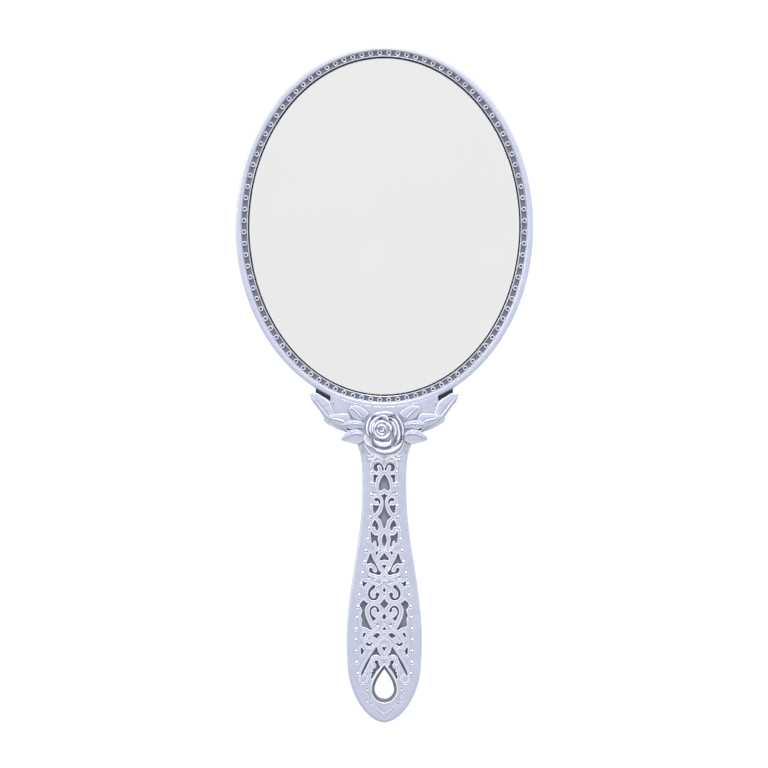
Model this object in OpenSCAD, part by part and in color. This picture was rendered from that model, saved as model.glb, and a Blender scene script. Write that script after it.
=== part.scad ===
// Ornate hand mirror, lying on its back with the glass facing up.
// X is the width, Y runs from the handle end (-) to the head end (+) and Z is
// the normal of the glass. Z = 0 is the flat back. Sizes are millimetres.

/* [Head] */
// Width of the oval head
head_w = 110; // [106:1:116]
// Height of the oval head
head_h = 134.5; // [131:0.5:138]
// Width of the smooth silver band round the head
band_w = 2.4; // [2:0.1:2.8]
// Distance from the outer edge to the recess that holds the glass
recess_inset = 4.8; // [4.7:0.1:5.4]
// Number of lace loops round the glass
lace_count = 96; // [72:2:104]

/* [Handle] */
// Overall length of the mirror
overall_l = 250; // [246:1:256]
// Half width of the handle at its waist
waist_hw = 8.2; // [8.2:0.1:9]
// Half width of the handle at its widest point
grip_hw = 14; // [14:0.1:15]
// Plain border between the handle edge and the openwork
border_w = 3.95; // [3.8:0.05:3.95]

/* [Hang hole] */
// Width of the teardrop hang hole
hole_w = 7.2; // [6:0.1:7.3]
// Length of the teardrop hang hole
hole_l = 11.4; // [10.4:0.1:11.4]

/* [Thickness] */
// Height of the back shell, from the flat back to the parting line
shell_t = 5.5; // [5.3:0.1:6]
// Thickness of the front frame above the parting line
frame_t = 4.5; // [4.2:0.1:5]
// Floor thickness of the back shell
floor_t = 1.8; // [1.4:0.1:2]
// Thickness of the glass pane
glass_t = 3; // [2.6:0.1:3.2]

/* [Hidden] */

// Heights
top_z = shell_t + frame_t;
core_depth = 1.6;
core_top = top_z - core_depth;
ground_depth = 1.2;
ground_z = top_z - ground_depth;
coat_t = 0.15;
tape_t = 0.2;
tape_l = 60;
tape_w = 16;
tape_offset = 32;
foam_t = 3;
foam_margin = 1.5;
foam_z = floor_t + tape_t;
coat_z = foam_z + foam_t;
silver_z = coat_z + coat_t;
glass_z = silver_z + coat_t;
open_t = 1.5;
lace_t = 0.7;
trim_t = 0.6;
trim_w = 0.45;
cut = 1;

// Edge profiles of the two halves: [height, inset] steps
back_edge = [[0, 1.9], [0.5, 0.8], [1.4, 0.2], [2.4, 0], [shell_t, 0]];
front_edge = [[shell_t, 0], [top_z - 1.8, 0], [top_z - 0.8, 0.3], [top_z - 0.2, 0.9], [top_z, 1.6]];

// Plan of the head and handle
head_a = head_w / 2;
head_b = head_h / 2;
head_cy = overall_l / 2 - head_b;
shoulder_x = 20;
join_x = 23;
waist_y = -36;
swell_y = waist_y - 2;
swell_l = 57;
flare_k = 0.00077;
end_y = -103;
end_len = overall_l / 2 + end_y;
end_pow = 1.8;
flare_y = waist_y + pow((shoulder_x - waist_hw) / flare_k, 1 / 3);
shell_wall = 2.2;
core_inset = 2.05;
core_y = -24;
open_y = -29;
glass_gap = 0.5;
glass_inset = recess_inset + glass_gap;
play = 0.05;

// Half width of the handle at y: a smooth swell below the waist and a flare
// towards the head above it.
function half_w(y) =
    y > waist_y ? waist_hw + flare_k * pow(y - waist_y, 3)
    : y > swell_y ? waist_hw
    : waist_hw + (grip_hw - waist_hw) * (1 - cos(180 * (swell_y - y) / swell_l)) / 2;
end_hw = half_w(end_y);

// Point of the rounded handle end, t = 0 at the sides and 1 at the tip
function end_pt(t, d) = [(end_hw - d) * pow(cos(90 * t), 2 / end_pow),
                         end_y - (end_len - d) * pow(sin(90 * t), 2 / end_pow)];
function mirrored(p) = [for (i = [len(p) - 1:-1:0]) if (p[i][0] > 0.001) [-p[i][0], p[i][1]]];
function handle_pts(d, y0, n = 26) =
    let (right = concat([for (k = [0:n]) let (y = y0 + (end_y - y0) * k / n) [half_w(y) - d, y]],
                        [for (k = [1:12]) end_pt(k / 12, d)]))
    concat(right, mirrored(right));
function oval(d, n = 120) = [for (k = [0:n - 1]) edge_pt(90 - 360 * k / n, d)];
function edge_pt(t, d) = [head_a * cos(t), head_cy + head_b * sin(t)] - d * oval_normal(t);
function oval_normal(t) =
    let (v = [cos(t) / head_a, sin(t) / head_b]) v / norm(v);

// Whole outline, clockwise from the top of the head, and the same moved inwards
join_t = -acos(join_x / head_a);
join_pt = [join_x, head_cy + head_b * sin(join_t)];
flare_pt = [shoulder_x, flare_y];
shoulder_pt = [join_x + 0.6, flare_y + 2.2];
right_side = concat(
    [for (k = [0:50]) let (t = 90 + (join_t - 90) * k / 50)
        [k == 0 ? 0 : head_a * cos(t), head_cy + head_b * sin(t)]],
    [for (k = [1:4]) let (t = k / 5)
        join_pt * pow(1 - t, 2) + shoulder_pt * 2 * t * (1 - t) + flare_pt * pow(t, 2)],
    [for (k = [0:26]) let (y = flare_y + (end_y - flare_y) * k / 26) [half_w(y), y]],
    [for (k = [1:11]) end_pt(k / 12, 0)],
    [[0, -overall_l / 2]]);
outline = concat(right_side, mirrored(right_side));
function inward(p, i, d) =
    let (n = len(p),
         a = p[(i + n - 1) % n], b = p[i], c = p[(i + 1) % n],
         u = (b - a) / norm(b - a), v = (c - b) / norm(c - b),
         m = [u[1] + v[1], -u[0] - v[0]],
         w = m / norm(m))
    b + d * w / max(0.6, w * [v[1], -v[0]]);
function moved(p, d) = d == 0 ? p : [for (i = [0:len(p) - 1]) inward(p, i, d)];

// Closed body with rounded edges: rings of the outline at [height, inset] steps
module shell_body(steps) {
    n = len(outline);
    h = n / 2;
    last = (len(steps) - 1) * n;
    polyhedron(
        points = [for (s = steps) for (p = moved(outline, s[1])) [p[0], p[1], s[0]]],
        faces = concat(
            [for (r = [0:len(steps) - 2]) for (i = [0:n - 1])
                let (j = (i + 1) % n, a = r * n, b = a + n)
                each [[a + i, a + j, b + j], [a + i, b + j, b + i]]],
            [for (i = [0:h - 1]) i == 0 ? [last, last + 1, last + n - 1]
                : i == h - 1 ? [last + i, last + h, last + h + 1]
                : [last + i, last + i + 1, last + n - i - 1, last + n - i]],
            [for (i = [0:h - 1]) i == 0 ? [n - 1, 1, 0]
                : i == h - 1 ? [h + 1, h, i]
                : [n - i, n - i - 1, i + 1, i]]));
}
module prism(points, z0, z1) {
    translate([0, 0, z0]) linear_extrude(z1 - z0) polygon(points);
}
// Flat ring between two closed outlines
module ring(outer, inner, z0, z1) {
    translate([0, 0, z0]) linear_extrude(z1 - z0)
        polygon(concat(outer, inner),
                paths = [[for (i = [0:len(outer) - 1]) i],
                         [for (i = [0:len(inner) - 1]) len(outer) + i]]);
}

// Teardrop: a sine-shaped shoulder from the tip down to a round bottom
hole_r = hole_w / 2;
hole_low = -116.5;
hole_cy = hole_low + hole_r;
hole_tip = hole_low + hole_l;
liner_t = 0.45;
rim_in = 1;
rim_out = 1.45;
tip_stretch = 1.45;
function tear(d, n = 12) =
    let (tip = hole_tip + tip_stretch * d, r = hole_r + d,
         right = concat([for (k = [0:n - 1])
                            [k == 0 ? 0 : r * sin(90 * k / n), tip + (hole_cy - tip) * k / n]],
                        [for (k = [0:n - 1]) [r * cos(90 * k / n), hole_cy - r * sin(90 * k / n)]],
                        [[0, hole_cy - r]]))
    concat(right, mirrored(right));

// ---- Openings of the handle openwork -------------------------------------
// Each is a closed outline on the right half; "pair" ones repeat on the left.
heart = [[0, -33.5], [1, -34.9], [1.6, -36.2], [1.95, -37.6], [2.05, -38.7], [1.75, -39.4],
         [1.2, -39.5], [0.6, -39.1], [0, -38.7]];
diamond = [[0, -40.5], [0.45, -41.1], [1.25, -41.25], [0.65, -42], [0.3, -43.2], [0.25, -44.6],
           [0.5, -46], [0.95, -47.3], [1.7, -48.4], [2.5, -49.2], [1.6, -49.95], [1, -50.9],
           [0.7, -52], [0.45, -53], [0, -53.5]];
marquise = [[0, -55.3], [0.6, -56.5], [0.85, -57.7], [0.7, -59], [0, -60.3]];
small_heart = [[0, -62.5], [0.9, -63.6], [1.7, -64.6], [1.4, -65.2], [0.7, -65.1], [0, -64.8]];
wedge = [[0, -66.9], [0.8, -67], [0, -68.4]];
lozenge_a = [[0, -75.3], [0.5, -76.1], [0, -77]];
lozenge_b = [[0, -79.3], [0.6, -80.3], [1.5, -81.2], [0.9, -82], [0, -83.2]];
lozenge_c = [[0, -84.8], [0.8, -86], [0, -87]];
spade = [[0, -89.6], [0.6, -90.7], [0, -90.8]];
boss_mark = [[0, -97.3], [0.7, -96.9], [0.6, -97.7], [0, -98.6]];
centre_windows = [heart, diamond, marquise, small_heart, wedge, lozenge_a, lozenge_b, lozenge_c,
                  spade, boss_mark];

pair_windows = [
    [[3.95, -31], [3.7, -30.2], [3.1, -29.6], [2.2, -29.35], [1.4, -29.6], [0.8, -30.2], [0.45, -31],
     [0.15, -31.8], [0.5, -32.2], [0.85, -31.6], [1.1, -30.6], [1.7, -30], [2.4, -30.2], [2.65, -30.9],
     [2.5, -31.5], [2.3, -32.2], [2.9, -32.5], [3.6, -32]],
    [[3.9, -33.75], [3.3, -33.7], [2.1, -34], [2.7, -34.6], [3.15, -35.4], [3.2, -36.6], [3.8, -36.3],
     [3.9, -35.4]],
    [[3.8, -42.9], [3.4, -42.4], [2.8, -42.2], [2.1, -42.45], [1.6, -43.1], [1.45, -43.9],
     [1.7, -44.7], [1.95, -44], [2.3, -43.3], [2.9, -43.5], [3.4, -43.2]],
    [[4.05, -44.8], [3.1, -45.1], [2.1, -44.9], [2, -45.6], [2.35, -46.4], [2.9, -47.2], [3.5, -47.9],
     [3.95, -47.2], [4.1, -46]],
    [[3.5, -50.4], [2.9, -51], [2.4, -51.9], [2.15, -52.9], [2.3, -53.8], [2.8, -54.25], [3.1, -53.7],
     [3.3, -53], [4, -52.8], [4.5, -52.5], [4.3, -51.8], [4, -51.1]],
    [[4.85, -54.3], [4.5, -55.2], [3.5, -56], [2.2, -56.1], [2.45, -57.2], [2.3, -58.2], [2.1, -59.2],
     [2.25, -60.1], [2.7, -60], [2.85, -58.8], [3.2, -58], [3.7, -57.9], [4.3, -58.9], [4.7, -58.5],
     [4.95, -56]],
    [[3.1, -62.1], [2.2, -62], [2.9, -63.4]],
    [[5.1, -62.5], [4.5, -64], [3.9, -65.2], [3.2, -66.4], [2.7, -67.4], [2.3, -68.4], [1.8, -69.2],
     [1.1, -69.8], [1.9, -70.6], [2.7, -70.35], [3.6, -70.15], [4.5, -69.9], [5.2, -69.5],
     [5.6, -68.8], [5.4, -68.15], [4.9, -67.9], [4.45, -68.3], [4.3, -69.1], [3.5, -69.65],
     [2.7, -69.4], [2.55, -68.7], [2.9, -67.9], [3.4, -67.1], [4.1, -66.5], [5, -66.2], [6.6, -66.5],
     [6.2, -65.4], [5.7, -64.1]],
    [[7.85, -72.8], [7.2, -73.3], [6.2, -73.4], [6.9, -74.1], [7.4, -74.9], [7.9, -74.4]],
    [[3.8, -74.1], [4.8, -74.9], [5.6, -76], [6, -77.3], [5.8, -78.6], [5, -79.5], [3.8, -79.9],
     [2.8, -79.6], [2.1, -78.7], [1.85, -77.8], [2.1, -77.2], [2.8, -77.1], [3.2, -77.7], [3, -78.4],
     [3.4, -79], [4.1, -79.2], [4.8, -78.8], [5.2, -78], [5.1, -77], [4.5, -76.1], [3.7, -75.5],
     [3.3, -74.9]],
    [[7.6, -79.9], [6.9, -80.5], [6, -81.1], [6.6, -81.9], [7.1, -83.2], [7.1, -84.6], [6.8, -86],
     [6.3, -87.3], [5.2, -89.5], [4.5, -90.5], [5.3, -90.7], [6, -90.1], [7.4, -89.7], [8.3, -89.1],
     [8.1, -87], [8.6, -85.6], [8, -83.6], [8.9, -82.2], [8.7, -80.9]],
    [[2.1, -84.4], [1.9, -83.6], [2.4, -82.6], [3.3, -81.95], [4.3, -82], [5.1, -82.8], [5.4, -84],
     [5.3, -85], [4.9, -86], [4.1, -87.6], [3.7, -87.1], [3, -86.6], [3.8, -86], [4.6, -85.3],
     [4.9, -84.3], [4.7, -83.4], [4.1, -82.7], [3.4, -82.5], [2.8, -83], [2.8, -83.9]],
    [[2.7, -91.9], [1.6, -92.4], [2, -93.1], [3, -94], [3.3, -93.5], [4.2, -93.3], [3.7, -92.6]],
    [[7.6, -91.9], [6.8, -92], [7.1, -92.8], [7.9, -93.6]],
    [[6.8, -95.6], [6.5, -96.2], [5.8, -96.7], [5, -96.5], [4.5, -95.9], [4.5, -95.2], [5, -95.8],
     [5.6, -96], [6.3, -95.4]],
    [[8.5, -97.2], [7.7, -98.1], [7.6, -98.9], [8.3, -100], [8.6, -98.8]],
    [[3.4, -97.6], [2.9, -97], [2.6, -97.8], [2.4, -98.6], [2, -99.4], [1.1, -100.4], [2.2, -100],
     [3.4, -99.8], [4.5, -100.2], [5, -101], [5.5, -102.2], [6.1, -103.6], [6.8, -105], [7.6, -106.4],
     [8.5, -107.9], [8.4, -106.3], [7.6, -104.5], [6.9, -103.1], [6.2, -101.9], [5.5, -100.8],
     [4.8, -99.7], [4.1, -98.7]],
    [[2.8, -101.9], [2.2, -102.5], [2.1, -103.4], [1.5, -104.3], [2.1, -105.1], [2.8, -105.8],
     [3.4, -106.8], [4, -107.8], [4.6, -108.9], [4.9, -107.9], [4.4, -107.1], [4.7, -106.3], [4, -106],
     [4.2, -105], [3.4, -105], [2.9, -103.7], [3.5, -102.8], [3.4, -102.2]]];

// Point t of a smooth curve through the points, open or closed
function at(p, i, closed) = closed ? p[(i + len(p)) % len(p)] : p[min(max(i, 0), len(p) - 1)];
function curve_pt(p, i, t, closed) =
    let (a = at(p, i - 1, closed), b = at(p, i, closed),
         c = at(p, i + 1, closed), d = at(p, i + 2, closed))
    b + 0.5 * t * ((c - a) + t * ((2 * a - 5 * b + 4 * c - d) + t * (3 * b - a - 3 * c + d)));
function smooth(p, closed, n = 3) =
    concat([for (i = [0:len(p) - (closed ? 1 : 2)]) for (k = [0:n - 1]) curve_pt(p, i, k / n, closed)],
           closed ? [] : [p[len(p) - 1]]);
function side(p, i, w) =
    let (a = p[max(i - 1, 0)], b = p[min(i + 1, len(p) - 1)], u = (b - a) / norm(b - a))
    p[i] + [u[1], -u[0]] * w / 2;
function ribbon(p, w) =
    concat([for (i = [0:len(p) - 1]) side(p, i, w)], [for (i = [len(p) - 1:-1:0]) side(p, i, -w)]);
function flip(p) = [for (i = [len(p) - 1:-1:0]) [-p[i][0], p[i][1]]];
function both(list) = concat(list, [for (p = list) flip(p)]);
windows = concat([for (p = centre_windows) let (q = smooth(p, false, 2)) concat(q, mirrored(q))],
                 both([for (p = pair_windows) smooth(p, true, 2)]));

// Polygon with a list of closed openings, as one face
function starts(list, i = 0, s = 0, out = []) =
    i == len(list) ? out : starts(list, i + 1, s + len(list[i]), concat(out, [s]));
module pierced(outer, openings, z0, z1) {
    all = concat([outer], openings);
    first = starts(all);
    translate([0, 0, z0]) linear_extrude(z1 - z0)
        polygon([for (l = all) each l],
                paths = [for (j = [0:len(all) - 1]) [for (i = [0:len(all[j]) - 1]) first[j] + i]]);
}

// ---- Mouldings --------------------------------------------------------------
// Back half: a flat-backed tray with rounded edges that follows the outline
module back_shell() {
    color("silver") difference() {
        shell_body(back_edge);
        prism(moved(outline, shell_wall), floor_t, shell_t + cut);
        prism(tear(liner_t + play), -cut, shell_t);
    }
}

// Front half: the smooth band round the head, the neck and the handle border
bead_pitch = 4.12;
bead_r = 0.42;
bead_inset = border_w - bead_r;
bead_sink = 0.15;
bead_first = -32.6;
bead_count = 19;
module front_frame() {
    color("silver") union() {
        difference() {
            shell_body(front_edge);
            prism(oval(band_w), 0, top_z + cut);
            prism(handle_pts(core_inset - play, core_y + play), 0, core_top);
            prism(handle_pts(border_w, open_y), core_top - cut, top_z + cut);
        }
        for (k = [0:bead_count - 1]) let (y = bead_first - k * bead_pitch)
            for (s = [-1, 1])
                translate([s * (half_w(y) - bead_inset), y, top_z - bead_sink]) sphere(bead_r, $fn = 24);
    }
}

// Dark ring that carries the lace and surrounds the glass
module rim_ground() {
    color("dimgray") ring(oval(band_w + play), oval(recess_inset), floor_t, ground_z);
}

// One row of small open loops hanging inwards from the silver band
module rim_lace() {
    step = 360 / lace_count;
    loop_l = 1.55;
    loop_w = 0.55;
    eye_r = 0.42;
    strip = 0.35;
    outer = oval(band_w + play, 2 * lace_count);
    eyes = [for (k = [0:lace_count - 1])
            let (t = 90 - (k + 0.5) * step, c = edge_pt(t, band_w + strip + loop_l / 2))
            [for (j = [0:5]) c + eye_r * [cos(60 * j), sin(60 * j)]]];
    inner = [for (k = [0:lace_count - 1]) for (j = [-1:0.25:0.75])
             let (reach = abs(j) < loop_w ? loop_l * (0.12 + 0.88 * sqrt(1 - pow(j / loop_w, 2))) : 0)
             edge_pt(90 - (k + 0.5 + j / 2) * step, band_w + strip + reach)];
    color("silver") pierced(outer, concat([inner], eyes), ground_z, ground_z + lace_t);
}

// Thin raised ring at the edge of the recess
module trim_ring() {
    color("silver") ring(oval(recess_inset - trim_w), oval(recess_inset), ground_z, ground_z + trim_t);
}

// ---- Mirror pane and what lies behind it ------------------------------------
module mirror_glass() {
    color("lightcyan") prism(oval(glass_inset), glass_z, glass_z + glass_t);
}
module silvering() {
    color("white") prism(oval(glass_inset), silver_z, glass_z);
}
module backing_coat() {
    color("slategray") prism(oval(glass_inset), coat_z, silver_z);
}
module foam_pad() {
    color("dimgray") prism(oval(glass_inset + foam_margin), foam_z, coat_z);
}
module tape(y) {
    color("ivory") translate([-tape_l / 2, y - tape_w / 2, floor_t]) cube([tape_l, tape_w, tape_t]);
}
module tape_upper() {
    tape(head_cy + tape_offset);
}
module tape_lower() {
    tape(head_cy - tape_offset);
}

// ---- Handle -----------------------------------------------------------------
// Dark core plate under the openwork, held off the back by cross ribs
module handle_core() {
    rib_t = 1.6;
    rib_inset = 3;
    rib_rows = [-30:-18:-102];
    plate_t = 2;
    color("dimgray") difference() {
        union() {
            prism(handle_pts(core_inset, core_y), core_top - plate_t, core_top);
            for (y = rib_rows)
                translate([rib_inset - half_w(y), y, floor_t])
                    cube([2 * (half_w(y) - rib_inset), rib_t, core_top - floor_t - plate_t / 2]);
        }
        prism(tear(liner_t + play), 0, top_z);
    }
}

// Openwork scroll panel that lies on the core
module handle_filigree() {
    color("silver") difference() {
        pierced(handle_pts(border_w + play, open_y - play), windows, core_top, core_top + open_t);
        prism(tear(rim_out + play), 0, top_z + cut);
    }
}

// Teardrop sleeve that lines the hang hole
module hole_liner() {
    color("dimgray") ring(tear(liner_t), tear(0), 0, core_top + 0.1);
}
// Raised silver rim round the hang hole
module hole_rim() {
    color("silver") ring(tear(rim_out), tear(rim_in), core_top, top_z + 0.1);
}

// ---- Rose, leaves and curl on the neck --------------------------------------
rose = [0, -17.9];
rose_r = 7.3;
petal_cover = 200; // degrees of each ring that its petals fill
module petals(r, count, turn, z, h, t) {
    for (k = [0:count - 1])
        translate([rose[0], rose[1], z]) rotate([0, 0, turn + 360 * k / count])
            rotate_extrude(angle = petal_cover / count, $fn = 48)
                translate([r - t, 0]) square([t, h]);
}
module rose_calyx() {
    color("silver") union() {
        translate([rose[0], rose[1], top_z]) cylinder(h = 0.8, r = rose_r - 0.6, $fn = 48);
        petals(r = rose_r, count = 5, turn = 20, z = top_z, h = 1.8, t = 1.6);
    }
}
module rose_petals() {
    color("silver") union() {
        translate([rose[0], rose[1], top_z + 0.8]) cylinder(h = 0.8, r = 4.6, $fn = 48);
        petals(r = 5.2, count = 4, turn = 50, z = top_z + 0.8, h = 2.2, t = 1.2);
    }
}
module rose_bud() {
    color("silver") union() {
        translate([rose[0], rose[1], top_z + 1.6]) cylinder(h = 1.1, r = 2.4, $fn = 36);
        petals(r = 3.1, count = 3, turn = 10, z = top_z + 1.6, h = 2.2, t = 0.8);
    }
}

// Leaf outline from base to tip, widest nearer the base
function leaf(b, t, w, n = 9) =
    let (u = (t - b) / norm(t - b), v = [-u[1], u[0]])
    concat([for (k = [0:n]) let (s = k / n) b + (t - b) * s + v * w * sin(180 * pow(s, 0.75))],
           [for (k = [n - 1:-1:1]) let (s = k / n) b + (t - b) * s - v * w * sin(180 * pow(s, 0.75))]);
// Base, tip and half width of each leaf
leaves = [[[-10.5, -17.6], [-27.3, -4.5], 3.8], [[-6, -14.6], [-20.5, -10.8], 2.6],
          [[-4.5, -13.8], [-13, -9.3], 2.4], [[-5.5, -17.8], [-15.9, -20.4], 2.8]];
leaf_t = 1;
rib_w = 0.5;
rib_rise = 0.5;
module leaf_spray() {
    color("silver") difference() {
        union() for (l = leaves) {
            prism(leaf(l[0], l[1], l[2]), top_z, top_z + leaf_t);
            prism(ribbon([l[0], (l[0] + l[1]) / 2, l[1]], rib_w), top_z, top_z + leaf_t + rib_rise);
        }
        translate([rose[0], rose[1], 0]) cylinder(h = 2 * top_z, r = rose_r + play, $fn = 48);
    }
}
module leaf_spray_left() {
    leaf_spray();
}
module leaf_spray_right() {
    mirror([1, 0, 0]) leaf_spray();
}

// Moustache-shaped curl between the rose and the openwork
curl = [[0, -28.6], [1.6, -27.6], [3.4, -27.2], [5, -26.2], [5.2, -24.8], [4.2, -25.3], [3, -26.2],
        [1.4, -26.4], [0, -26.2]];
curl_t = 0.9;
module neck_scroll() {
    color("silver") prism(concat(curl, mirrored(curl)), top_z, top_z + curl_t);
}

back_shell();
front_frame();
rim_ground();
rim_lace();
trim_ring();
mirror_glass();
silvering();
backing_coat();
foam_pad();
tape_upper();
tape_lower();
handle_core();
handle_filigree();
hole_liner();
hole_rim();
rose_calyx();
rose_petals();
rose_bud();
leaf_spray_left();
leaf_spray_right();
neck_scroll();
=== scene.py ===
import math

import bpy
import numpy as np
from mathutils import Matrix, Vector
from mathutils.geometry import delaunay_2d_cdt
from mathutils.kdtree import KDTree


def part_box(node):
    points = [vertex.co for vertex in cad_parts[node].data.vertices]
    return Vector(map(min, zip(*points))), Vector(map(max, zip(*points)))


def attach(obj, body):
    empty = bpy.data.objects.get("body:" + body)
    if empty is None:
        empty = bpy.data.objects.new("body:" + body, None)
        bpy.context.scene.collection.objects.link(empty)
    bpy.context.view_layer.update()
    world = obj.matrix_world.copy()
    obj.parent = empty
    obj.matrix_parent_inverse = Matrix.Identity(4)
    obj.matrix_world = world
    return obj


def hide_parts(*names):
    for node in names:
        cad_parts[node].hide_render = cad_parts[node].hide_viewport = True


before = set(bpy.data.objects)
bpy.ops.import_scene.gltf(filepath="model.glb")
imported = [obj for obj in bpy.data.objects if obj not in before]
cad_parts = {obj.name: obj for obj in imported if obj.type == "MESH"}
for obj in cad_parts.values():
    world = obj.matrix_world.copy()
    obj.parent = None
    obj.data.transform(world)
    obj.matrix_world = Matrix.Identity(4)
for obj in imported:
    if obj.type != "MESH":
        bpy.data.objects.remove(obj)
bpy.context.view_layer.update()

MM = 0.001

# ---- Sizes read from the CAD frame, in millimetres ---------------------------


def box_mm(node):
    """The lower and upper corners of a CAD node's box."""
    lo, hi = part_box(node)
    return np.array(lo) / MM, np.array(hi) / MM


SHELL_LO, SHELL_HI = box_mm("back_shell")
GROUND_LO, GROUND_HI = box_mm("rim_ground")
PANE_LO, PANE_HI = box_mm("mirror_glass")
PANEL_LO, PANEL_HI = box_mm("handle_filigree")
CORE_TOP = box_mm("handle_core")[1][2]
PART_Z = SHELL_HI[2]
FRAME_TOP = box_mm("leaf_spray_left")[0][2]
HEAD_A = SHELL_HI[0]
HEAD_CY = (GROUND_LO[1] + GROUND_HI[1]) / 2
HEAD_B = SHELL_HI[1] - HEAD_CY
GROUND_INSET = HEAD_A - GROUND_HI[0]
PANE_INSET = HEAD_A - PANE_HI[0]
TRIM_INSET = HEAD_A - box_mm("trim_ring")[1][0]
LOOPS = 96
SAME = 0.01  # heights closer than this count as the same
UPRIGHT = 0.1  # a face whose normal rises by less than this counts as upright
AXIS = 0.001  # a point no farther than this from x = 0 is on the centre line

# ---- Mesh helpers -------------------------------------------------------------


def make_object(name, verts, faces, material, replaces=(), slot="silver_plastic", shade=None):
    """A smooth mesh piece from millimetre points, riding on the root body."""
    mesh = bpy.data.meshes.new(name)
    mesh.from_pydata((np.asarray(verts, float) * MM).tolist(), [], faces)
    mesh.validate()
    mesh.update()
    mesh.polygons.foreach_set("use_smooth", [True] * len(mesh.polygons))
    if shade is not None:
        layer = mesh.attributes.new("tone", "FLOAT", "POINT")
        layer.data.foreach_set("value", np.asarray(shade, np.float32))
    obj = bpy.data.objects.new(name, mesh)
    bpy.context.scene.collection.objects.link(obj)
    mesh.materials.append(material)
    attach(obj, "root")
    if replaces:
        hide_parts(*replaces)
    return obj


class Parts:
    """Collects several surfaces into one mesh."""

    def __init__(self):
        self.verts, self.faces, self.tone = [], [], []

    def add(self, verts, faces, tone=0.5):
        start = len(self.verts)
        self.verts.extend([tuple(v) for v in verts])
        self.faces.extend([[i + start for i in f] for f in faces])
        self.tone.extend(np.broadcast_to(tone, len(verts)).tolist())

    def loft(self, rings, tone=0.5, around=True, cap_ends=False):
        """Quads between equal rings of points; tone is one number, or one for each ring or point."""
        rings = np.asarray(rings, float)
        rows, n = rings.shape[:2]
        last = n if around else n - 1
        faces = [[r * n + i, r * n + (i + 1) % n, (r + 1) * n + (i + 1) % n, (r + 1) * n + i]
                 for r in range(rows - 1) for i in range(last)]
        if cap_ends:
            faces += [list(range(n))[::-1], [(rows - 1) * n + i for i in range(n)]]
        tones = np.asarray(tone, float)
        if tones.ndim == 1 and len(tones) == rows:
            tones = np.repeat(tones, n)
        self.add(rings.reshape(-1, 3), faces, tones.reshape(-1) if tones.ndim else float(tones))

    def build(self, name, material, **kw):
        return make_object(name, self.verts, self.faces, material, shade=self.tone, **kw)


def spline(points, step, closed=False):
    """Catmull-Rom curve through the points, sampled about every step."""
    p = np.asarray(points, float)
    n = len(p)
    out = []
    for i in range(n if closed else n - 1):
        if closed:
            a, b, c, d = p[(i - 1) % n], p[i], p[(i + 1) % n], p[(i + 2) % n]
        else:
            a, b, c, d = p[max(i - 1, 0)], p[i], p[i + 1], p[min(i + 2, n - 1)]
        count = max(1, int(np.linalg.norm(c - b) / step))
        for t in np.arange(count) / count:
            bend = (2 * a - 5 * b + 4 * c - d) + t * (3 * b - a - 3 * c + d)
            out.append(b + 0.5 * t * ((c - a) + t * bend))
    if not closed:
        out.append(p[-1])
    return np.array(out)


def left_normals(p, closed=False):
    """Unit normals to the left of a 2-D path."""
    if closed:
        t = np.roll(p, -1, 0) - np.roll(p, 1, 0)
    else:
        t = np.gradient(p, axis=0)
    t /= np.linalg.norm(t, axis=1)[:, None]
    return np.stack([-t[:, 1], t[:, 0]], 1)


def oval(inset, n):
    """Points of the head's outline moved inwards by inset, counter-clockwise."""
    t = np.linspace(0, 2 * math.pi, n, endpoint=False)
    nx, ny = np.cos(t) / HEAD_A, np.sin(t) / HEAD_B
    size = np.hypot(nx, ny)
    x = HEAD_A * np.cos(t) - inset * nx / size
    y = HEAD_CY + HEAD_B * np.sin(t) - inset * ny / size
    return np.stack([x, y], 1)


def with_z(p, z):
    """The flat points p lifted to height z."""
    return np.column_stack([p, np.broadcast_to(z, len(p))])


def points_mm(mesh):
    """The mesh's vertices in millimetres."""
    return np.array([v.co for v in mesh.vertices]) / MM


def top_edges(node):
    """The outline edges of a CAD node's top face, as 2-D segments in millimetres."""
    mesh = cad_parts[node].data
    co = points_mm(mesh)
    top = co[:, 2].max() - SAME
    found = []
    for poly in mesh.polygons:
        if abs(poly.normal.z) > UPRIGHT:
            continue
        ids = list(poly.vertices)
        for i, a in enumerate(ids):
            b = ids[(i + 1) % len(ids)]
            if co[a, 2] > top and co[b, 2] > top:
                found.append((co[a, :2], co[b, :2]))
    return np.array(found)


def outline_side():
    """The whole mirror's right-hand outline, as rows of (y, x) from the tip up to the top of the head."""
    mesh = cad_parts["back_shell"].data
    co = points_mm(mesh)
    found = {}
    for poly in mesh.polygons:
        if abs(poly.normal.z) > UPRIGHT or poly.normal.x < 0:
            continue
        for i in poly.vertices:
            x, y, z = co[i]
            if x > -AXIS and z > PART_Z - SAME:
                found[round(y, 2)] = x
    return np.array(sorted((y, x) for y, x in found.items()))


SIDE = outline_side()


def half_width(y):
    """Half the width of the outline at y."""
    return np.interp(y, SIDE[:, 0], SIDE[:, 1])


CORNER_GAP = 0.02  # relief() cuts a grid line no nearer its ends than this share of it


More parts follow.
